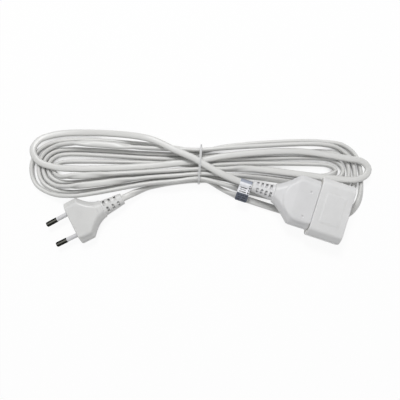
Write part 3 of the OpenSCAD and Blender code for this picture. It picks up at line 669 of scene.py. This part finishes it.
def half_section(edge, u):
    """The top of a relief's section from its middle to one side. u is the distance to the
    nearest slot's middle: the slot ends at 1, and a shallow dish round it at 1.3."""
    far = max(y for y, _ in edge)
    top = sorted((q for q in edge if q[0] >= 0 and q[1] > 0), key=lambda q: q[0])

    def height(y):
        for a, b in zip(top, top[1:]):
            if b[0] >= y:
                return a[1] + (b[1] - a[1]) * (y - a[0]) / max(b[0] - a[0], 1e-6)
        return top[-1][1]
    rim = far - RIM
    bow = 0.6 * (1 - math.sqrt(max(1 - u * u, 0)))  # rounds the slot's ends
    a, b, c = SPINE + bow, min(DEEP + bow, rim - 0.45), rim - 0.5 * bow
    cut = u < 0.999
    dish = 0 if cut else 0.16 * ease(1.3, 1.0, u)
    ys = [a * v for v in (0.06, 0.3, 0.6, 0.85, 0.96, 1)] + [a + WALL, (a + b) / 2, b, b + WALL]
    ys += [b + WALL + (c - b - 2 * WALL) * v for v in (0.33, 0.67, 1)] + [c]
    ys += [c + (far - c) * v for v in (0.08, 0.25, 0.45, 0.65, 0.8, 0.92, 1)]
    out = []
    for n, y in enumerate(ys):
        z = height(y)
        if cut and n in LID_POINTS:
            z = min(z, LID)
        elif cut and n in WEB_POINTS:
            z = min(z, WEB)
        elif dish and n >= DISH_FROM:
            z -= dish * z / (RELIEF_T[0] / 2)
        out.append((y, z))
    return out


def relief(name, at, yaw, start, length, slots, mat):
    """Tapered strain relief with two staggered rows of slots above and below."""
    pitch = (length - UNSLOTTED) / slots
    centres = {s: [start - FIRST_SLOT - pitch * (i + (STAGGER if s > 0 else 0)) for i in range(slots)]
               for s in (1, -1)}
    xs = {start + 0.6, start, start - length}  # it begins a little inside the body
    xs |= {round(start - 0.5 * k, 3) for k in range(1, int(length / 0.5))}
    xs |= {round(start - length + v, 3) for v in TIP_MARKS}
    for c in centres[1] + centres[-1]:
        xs |= {round(c + SLOT_HALF * s * v, 3) for v in (0, *SLOT_MARKS) for s in (1, -1)}
    out = []
    for x in sorted(xs):
        k = min(max((start - x) / length, 0), 1)
        w, t = (a + (b - a) * k for a, b in (RELIEF_W, RELIEF_T))
        edge = inset(w, t, t * 0.3, 1.1, roundover(0.5, x - (start - length)), 24)
        right, left = ([(s * y, z) for y, z in
                        half_section(edge, min(abs(c - x) for c in centres[s]) / SLOT_HALF)]
                       for s in (1, -1))
        ring = left[::-1] + right  # the top, from -y to +y; the bottom mirrors it
        ring += [(y, -z) for y, z in reversed(ring)]
        out.append((x, ring[::-1]))
    return build(name, at, yaw, out, None, mat)


build("plug_moulding", PLUG_AT, PLUG_YAW,
      grip_sections(w=PLUG_W, t=PLUG_T, chamfer=PLUG_CHAMFER, grip=11, length=PLUG_L, neck_w=14.4,
                    neck_t=11.6, lip=1.0, cut=1.7, top=64, drop=0.6, hollow=1.85, soften=0.2),
      plateau(centre=-7.6, radius=14.2, drop=0.6, half=6.4), plug_mat, ["plug_body"])
relief("plug_strain_relief", PLUG_AT, PLUG_YAW, -PLUG_L, PLUG_RELIEF, 3, plug_mat)

DIMPLES, DIMPLE_R, DIMPLE_DEEP = ((-7.4, -11.7), (-6.3, 8.3)), 1.2, 0.6  # at (x, y)


def rear_shape(x, y, z):
    """The raised grip of the socket's rear body, and two shallow dimples by its front."""
    x, y, z = plateau(centre=-8.2, radius=16.8, drop=0.65, half=7.7)(x, y, z)
    for x0, y0 in DIMPLES:
        if z > 6:
            z -= DIMPLE_DEEP * (1 - ease(0.2, DIMPLE_R, math.hypot(x - x0, y - y0)))
    return x, y, z


build("socket_moulding", COLLAR_AT, SOCKET_YAW,
      grip_sections(w=REAR_W, t=REAR_T, chamfer=REAR_CHAMFER, grip=16.5, length=REAR_L, neck_w=15,
                    neck_t=13.2, lip=0.9, cut=1.7, top=90, drop=0.65, hollow=1.35, soften=0.4),
      rear_shape, socket_mat, ["connector_body"])
relief("socket_strain_relief", COLLAR_AT, SOCKET_YAW, -REAR_L, REAR_RELIEF, 4, socket_mat)

# The collar
COLLAR_TOP, COLLAR_SEAM = 112, 0.05
LIP_MARKS = (0, 0.02, 0.08, 0.18, 0.32, 0.5, 0.72, 0.95)
BACK_LIP, FRONT_LIP, MOUTH_LIP = 0.7, 0.95, 0.5
MOUTH = (PLUG_W + 2 * PLUG_GAP, PLUG_T + 2 * PLUG_GAP, PLUG_CHAMFER, 1.2)
POCKET = (44.0, 15.6, 4.1, 1.0)    # takes the insert behind the recess
POCKET_MIDDLE = 6.0                # a section between the pocket's ends
PANEL_X, PANEL_Y, PANEL_UP = (8.6, 6.6), (12.4, 10.7), 0.2  # outer and inner edges, and height


def collar_sections():
    """The outer skin from back to front, then the recess and the pocket from front to back."""
    places = sorted({round(v, 3) for v in LIP_MARKS} | {round(COLLAR_L - v, 3) for v in LIP_MARKS}
                    | {round(1.2 + 0.3 * k, 3) for k in range(81)})
    out = [(s, inset(COLLAR_W, COLLAR_T, COLLAR_CHAMFER, 1.5,
                     roundover(BACK_LIP, s) + roundover(FRONT_LIP, COLLAR_L - s), COLLAR_TOP, COLLAR_SEAM))
           for s in places]
    out += [(COLLAR_L - s, inset(*MOUTH, -roundover(MOUTH_LIP, s), COLLAR_TOP))
            for s in (0.0, 0.03, 0.12, 0.28, MOUTH_LIP)]
    steps = 12
    out += [(COLLAR_L - MOUTH_LIP - k * (RECESS_L - MOUTH_LIP) / steps, inset(*MOUTH, 0, COLLAR_TOP))
            for k in range(1, steps + 1)]
    return out + [(s, inset(*POCKET, 0, COLLAR_TOP)) for s in (COLLAR_L - RECESS_L, POCKET_MIDDLE, 0.0)]


def collar_shape(x, y, z):
    """A flat raised panel with soft edges on the top and the bottom."""
    if abs(z) > COLLAR_T / 2 - 0.05:
        on = ease(*PANEL_X, abs(x - COLLAR_L / 2)) * ease(*PANEL_Y, abs(y))
        z += math.copysign(PANEL_UP * on, z)
    return x, y, z


build("socket_collar", COLLAR_AT, SOCKET_YAW, collar_sections(), collar_shape, collar_mat,
      ["connector_collar"], closed=True, sharp=32)

# ---------------------------------------------------------------- the label
FLAG_REACH = 14.4                # from the cord's middle to the flag's tip
REFLECTION_TO, FOLD_FROM = 6.2, (14.6, 15.6)
BARS = ((0.9, 3.6, 0.9, 1.7), (4.6, 8.6, 0.9, 1.7), (1.6, 4.4, 2.6, 3.3), (5.2, 8.2, 2.6, 3.4),
        (0.9, 2.6, 4.2, 5.0), (3.4, 6.6, 4.2, 5.0), (7.4, 8.8, 4.0, 5.4), (1.4, 6.9, 6.9, 7.8),
        (1.4, 6.2, 8.7, 9.3), (1.4, 6.9, 10.3, 11.2), (8.0, 9.2, 6.6, 8.2), (8.0, 9.2, 8.8, 10.0),
        (8.2, 9.3, 10.8, 12.4), (8.0, 9.0, 13.2, 14.0))  # in u from and to, in v from and to


def label_material():
    """Silvery film with plain dark bars. The end of the flag is painted bluish grey, a painted dark
    reflection in the foil. Here u runs along the cord and v along the film from the flag's tip, both in
    mm."""
    n = Nodes("label_film")
    split = n.add("ShaderNodeSeparateXYZ")
    n.link(n.coord.outputs["UV"], split.inputs[0])
    u, v = split.outputs[0], split.outputs[1]
    film, ink, dark_reflection, fold = rgb(238, 239, 243), rgb(18, 20, 26), rgb(84, 91, 106), rgb(138, 143, 156)
    smudge = n.noise(500, 4, 0.6)
    base = n.mix(n.span(smudge, 0.35, 0.7, 0, 1), film, scaled(film, 0.84))
    base = n.mix(n.span(v, *FOLD_FROM, 0, 1), base, fold)
    # Painted dark reflection on the end of the flag
    end = n.calc("LESS_THAN", v, REFLECTION_TO)
    base = n.mix(end, base, n.mix(n.span(smudge, 0.3, 0.7, 0, 1), dark_reflection, scaled(dark_reflection, 0.6)))

    def within(x, low, high):
        return n.calc("MULTIPLY", n.calc("GREATER_THAN", x, low), n.calc("LESS_THAN", x, high))
    bars = None
    for u0, u1, v0, v1 in BARS:
        bar = n.calc("MULTIPLY", within(u, u0, u1), within(v, v0, v1))
        bars = bar if bars is None else n.calc("MAXIMUM", bars, bar)
    print_wear_and_crest_highlight = n.span(n.noise(1400, 3, 0.6), 0.35, 0.5, 0.45, 0.92)
    base = n.mix(n.calc("MULTIPLY", bars, print_wear_and_crest_highlight), base, ink)
    n.set(Base_Color=base, Metallic=0.25, Roughness=n.span(smudge, 0.3, 0.7, 0.26, 0.42), IOR=1.5,
          Coat_Weight=0.35, Coat_Roughness=0.15, Normal=n.bump(n.noise(330, 3, 0.5), 0.25, 0.00012))
    return n.mat


def label_path():
    """Middle of the film from the flag's tip, round the cord and back, as (y, z) of the socket."""
    r, gap, steps = CORD_T / 2 + 0.27, 0.17, 16
    fold = -(SHEATH_EDGE + r) - 1.1   # where the two halves of the flag part
    flag = FLAG_REACH + fold          # its length
    side = (-SHEATH_EDGE - r * 0.82, r * 0.62)

    def left(a):
        return (-SHEATH_EDGE - r * math.sin(math.radians(a)), r * math.cos(math.radians(a)))

    def right(a):
        return (SHEATH_EDGE + r * math.sin(math.radians(a)), r * math.cos(math.radians(a)))
    out = [(-FLAG_REACH + flag * k / steps, gap + 0.06 * math.sin(k / 3)) for k in range(steps)]
    out += [(fold, gap), (fold + 0.5, gap + 0.35), side] + [left(a) for a in (40, 20, 0)]
    out += [(0, r)] + [right(a) for a in range(0, 181, 15)] + [(0, -r)]
    out += [left(a) for a in (180, 160, 140)]
    out += [(side[0], -side[1]), (fold + 0.5, -gap - 0.35), (fold, -gap)]
    out += [(fold - flag * k / steps, -gap - 0.06 * math.sin(k / 3)) for k in range(1, steps + 1)]
    return out


def make_label():
    """Thin film folded round the cord, with a flag that curls a little and has rounded corners."""
    path, cols = label_path(), 24
    k = len(path)
    middle = -SOCKET_BACK - LABEL_ROOM - LABEL_L / 2
    flag_from, curl, ripple, corner_l, corner_deep = 4.0, 0.020, 0.10, 0.9, 0.7
    verts, uvs, faces = [], [], []
    run = [0.0]
    for a, b in zip(path, path[1:]):
        run.append(run[-1] + math.dist(a, b))
    for c in range(cols + 1):
        x = LABEL_L * (c / cols - 0.5)
        trim = corner_deep * (max(0, abs(x) - (LABEL_L / 2 - corner_l)) / corner_l) ** 2
        for (y, z), s in zip(path, run):
            far = max(0, -y - flag_from)
            bend = -curl * far ** 2 + ripple * math.sin(x * 0.8 + far * 0.35) * far / 10
            p = (middle + x, y + trim * ease(8, FLAG_REACH, -y), z + bend)
            verts.append(Vector(placed(COLLAR_AT, SOCKET_YAW, p)) * MM)
            uvs.append((x + LABEL_L / 2, s))
    for c in range(cols):
        for j in range(c * k, c * k + k - 1):
            faces.append((j, j + 1, j + k + 1, j + k))
    obj = add_mesh("cord_label_film", verts, faces, sharp=60, uvs=uvs)
    solid = obj.modifiers.new("thickness", "SOLIDIFY")
    solid.thickness, solid.offset = 0.00014, 0
    obj.data.materials.append(label_material())
    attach(obj, "root")
    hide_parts("cord_label")
    return obj


label = make_label()

# ---------------------------------------------------------------- the tie
TIE_GAP, TIE_ROOM = 0.3, 0.6       # below and above the strands, and at their sides
TIE_CORNER = 1.0
# The band's section: (along the hank, out from the strands)
TIE_PROFILE = ((-0.9, 0.08), (-0.82, 0.0), (-0.3, -0.02), (0.3, -0.02), (0.82, 0.0), (0.9, 0.08),
               (0.9, 0.26), (0.8, 0.36), (0.42, 0.34), (0.22, 0.46), (0, 0.5), (-0.22, 0.46),
               (-0.42, 0.34), (-0.8, 0.36), (-0.9, 0.26))
TAIL_ROWS, TAIL_SIDES, TAIL_R, TAIL_TURNS = 26, 8, 0.36, 0.9


def tie_material():
    """Pale, slightly clear plastic."""
    n = Nodes("tie_band")
    base = n.mix(n.noise(300, 4, 0.6), rgb(206, 206, 207), rgb(224, 224, 224))
    n.set(Base_Color=base, Roughness=n.span(n.noise(500, 3, 0.6), 0.3, 0.7, 0.28, 0.45), IOR=1.5,
          Transmission_Weight=0.15, Coat_Weight=0.2, Coat_Roughness=0.2,
          Normal=n.bump(n.noise(700, 3, 0.5), 0.3, 0.00008))
    return n.mat


def hull(points):
    """The convex outline of the points, anticlockwise."""
    points = sorted(set(points))

    def half(rows):
        out = []
        for p in rows:
            while len(out) > 1 and ((out[-1][0] - out[-2][0]) * (p[1] - out[-2][1])
                                    - (out[-1][1] - out[-2][1]) * (p[0] - out[-2][0])) <= 0:
                out.pop()
            out.append(p)
        return out[:-1]
    return half(points) + half(points[::-1])


def tie_outline():
    """The band's inner line round the strands at the tie, as (y, z), with rounded corners."""
    half, far = CORD_T / 2 + TIE_ROOM, 3 * PITCH
    first, last = pass_y(PASSES[0]), pass_y(PASSES[-1])
    pts = []
    for y, z in ((first, -TIE_GAP), (first, CORD_W), (far, -TIE_GAP), (far, HIGH + LOW),
                 (-far, HIGH + LOW)):
        pts += [(y + s * half, z + FLOOR_RAISE + k * TIE_GAP) for s in (-1, 1) for k in (0, 1)]
    pts += [(last + s * CORD_FLAT / 2, OVER + FLOOR_RAISE + CORD_T / 2 + k * TIE_GAP)
            for s in (-1, 1) for k in (0, 1)]
    ring = hull(pts)
    n = len(ring)
    return [p for i, q in enumerate(ring)
            for p in corner(ring[i - 1], q, ring[(i + 1) % n], TIE_CORNER)]


def tie_tail(turn, y0, z0):
    """One of the tails that are wound together on the band at (y0, z0). They bend down and
    part towards their ends."""
    out = []
    for k in range(TAIL_ROWS):
        s = k / (TAIL_ROWS - 1)
        a = 2 * math.pi * (TAIL_TURNS * s + turn)
        spread = 0.34 + 0.9 * max(0, s - 0.72)
        x, y = spread * math.cos(a), y0 + 0.3 + 1.7 * s
        z = z0 + 0.25 + 0.8 * s - 1.3 * s * s + spread * math.sin(a)
        for j in range(TAIL_SIDES):
            b = 2 * math.pi * j / TAIL_SIDES
            out.append((x + TAIL_R * math.cos(b), y, z + TAIL_R * math.sin(b)))
    return out


def make_tie():
    """A ribbed band round the strands, with its two twisted tails."""
    ring, m, local = tie_outline(), len(TIE_PROFILE), []
    n = len(ring)
    for i, (y, z) in enumerate(ring):
        p, r = ring[i - 1], ring[(i + 1) % n]
        d = Vector((r[0] - p[0], r[1] - p[1])).normalized()
        local += [(x, y + d.y * h, z - d.x * h) for x, h in TIE_PROFILE]
    faces = ring_faces(n, m, closed=True)
    knot = max(ring, key=lambda q: q[0] + 0.35 * q[1])
    for turn in (0, 0.5):
        first = len(local)
        local += tie_tail(turn, *knot)
        faces += [tuple(first + v for v in f) for f in ring_faces(TAIL_ROWS, TAIL_SIDES)]
        faces += [tuple(range(first, first + TAIL_SIDES)),
                  tuple(range(len(local) - TAIL_SIDES, len(local)))]
    verts = [Vector(placed(TIE_AT, TIE_YAW, p)) * MM for p in local]
    obj = add_mesh("cord_tie_band", verts, faces, sharp=40)
    obj.data.materials.append(tie_material())
    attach(obj, "root")
    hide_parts("cord_tie")
    return obj


tie = make_tie()
tuple(p * MM for p in rings[0][:3])

# ---------------------------------------------------------------- the shutter's spring
def make_spring():
    """The coil that stands on the insert under the shutter, at its full length."""
    wire, radius, turns, steps, sides = 0.25, 0.95, 7, 28, 10
    room = wire + 0.02
    at_x = COLLAR_L - RECESS_L - SNUG - PLATE_L - SLIDE_GAP - SHUTTER_T / 2
    low, high = SPRING_FOOT + room, SPRING_FOOT + SPRING_L - room
    count, verts = steps * turns, []
    for i in range(count + 1):
        a, t = 2 * math.pi * i / steps, i / count
        rise = 0.25 * ease(0, 1, t) + 0.75 * t  # closer together at both ends
        for j in range(sides):
            b = 2 * math.pi * j / sides
            r = radius + wire * math.cos(b)
            p = (at_x + r * math.cos(a), r * math.sin(a), low + (high - low) * rise + wire * math.sin(b))
            verts.append(Vector(placed(COLLAR_AT, SOCKET_YAW, p)) * MM)
    ends = [tuple(range(sides)), tuple(range(len(verts) - sides, len(verts)))]
    obj = add_mesh("shutter_spring_coil", verts, ring_faces(count + 1, sides) + ends, sharp=60)
    obj.data.materials.append(steel_mat)
    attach(obj, "root")
    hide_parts("shutter_spring")
    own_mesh(obj)


make_spring()

# ---------------------------------------------------------------- the CAD pieces that stay
finish = {"plug_pin_left": pin_mat, "plug_pin_right": pin_mat, "pin_sleeve_left": sleeve_mat,
          "pin_sleeve_right": sleeve_mat, "plug_bridge": bridge_mat, "contact_carrier": insert_mat,
          "shutter": shutter_mat, "plug_core_brown": brown_mat, "connector_core_brown": brown_mat,
          "plug_core_blue": blue_mat, "connector_core_blue": blue_mat}
for name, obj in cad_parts.items():
    mat = finish.get(name, brass_mat)  # the contacts and the crimps are brass
    if not obj.material_slots:
        obj.data.materials.append(mat)
    for s in obj.material_slots:
        s.link = "OBJECT"
        s.material = mat

# ---------------------------------------------------------------- floor, world and lamps
def math_node(tree, operation, a, b):
    """A Math node on two sockets, or on a socket and a number."""
    node = tree.nodes.new("ShaderNodeMath")
    node.operation = operation
    tree.links.new(a, node.inputs[0])
    if isinstance(b, float):
        node.inputs[1].default_value = b
    else:
        tree.links.new(b, node.inputs[1])
    return node.outputs[0]


def open_share(tree, reach):
    """0 right beside a piece, and 1 where nothing stands within reach, in metres."""
    near = tree.nodes.new("ShaderNodeAmbientOcclusion")
    near.samples = 8
    near.inputs["Distance"].default_value = reach
    fade = tree.nodes.new("ShaderNodeMapRange")
    for socket, value in (("From Min", 0.04), ("From Max", 0.42), ("To Min", 0.0), ("To Max", 1.0)):
        fade.inputs[socket].default_value = value
    tree.links.new(near.outputs["AO"], fade.inputs["Value"])
    return fade.outputs["Result"]


def seen_white(tree, lit, bright, share, reach=0):
    """Mixes a share of plain white into what the camera, mirrors and glass see.
    With a reach, in metres, the white fades where a piece stands closer than that."""
    path = tree.nodes.new("ShaderNodeLightPath")
    part = path.outputs["Is Camera Ray"]
    for name in ("Is Glossy Ray", "Is Transmission Ray"):
        part = math_node(tree, "MAXIMUM", part, path.outputs[name])
    part = math_node(tree, "MULTIPLY", part, share)
    if reach:
        part = math_node(tree, "MULTIPLY", part, open_share(tree, reach))
    mix = tree.nodes.new("ShaderNodeMixShader")
    for i, socket in enumerate((part, lit, bright)):
        tree.links.new(socket, mix.inputs[i])
    return mix.outputs[0]


def make_floor():
    """A pale plain floor just under the piece, which keeps its shadow."""
    half, z = 4, -0.0001
    mesh = bpy.data.meshes.new("floor")
    mesh.from_pydata([(x * half, y * half, z) for x, y in ((-1, -1), (1, -1), (1, 1), (-1, 1))],
                     [], [(0, 1, 2, 3)])
    obj = bpy.data.objects.new("floor", mesh)
    scene.collection.objects.link(obj)
    mat = bpy.data.materials.new("floor")
    mat.use_nodes = True
    tree = mat.node_tree
    tree.nodes.clear()
    diffuse = tree.nodes.new("ShaderNodeBsdfDiffuse")
    diffuse.inputs["Color"].default_value = (0.93, 0.93, 0.93, 1)
    glow = tree.nodes.new("ShaderNodeEmission")
    out = tree.nodes.new("ShaderNodeOutputMaterial")
    tree.links.new(seen_white(tree, diffuse.outputs[0], glow.outputs[0], 0.93, 0.007), out.inputs[0])
    mesh.materials.append(mat)


def make_world():
    """Even light of a low strength that is seen as plain white."""
    world = bpy.data.worlds.new("world")
    scene.world = world
    world.use_nodes = True
    tree = world.node_tree
    tree.nodes.clear()
    fill, white = (tree.nodes.new("ShaderNodeBackground") for _ in range(2))
    for node, strength in ((fill, 0.38), (white, 1.0)):
        node.inputs["Strength"].default_value = strength
        node.inputs["Color"].default_value = (1, 1, 1, 1)
    out = tree.nodes.new("ShaderNodeOutputWorld")
    tree.links.new(seen_white(tree, fill.outputs[0], white.outputs[0], 1.0), out.inputs[0])


def lamp(name, place, power, size):
    """A round lamp that points at the middle of the floor."""
    light = bpy.data.lights.new(name, "AREA")
    light.shape, light.size, light.energy = "DISK", size, power
    obj = bpy.data.objects.new(name, light)
    obj.location = place
    obj.rotation_euler = (-Vector(place)).to_track_quat("-Z", "Y").to_euler()
    scene.collection.objects.link(obj)


make_floor()
make_world()
lamp("key", (-0.12, 0.58, 1.01), 8.0, 0.32)
lamp("side", (0.9, 0.1, 0.8), 0.5, 0.6)
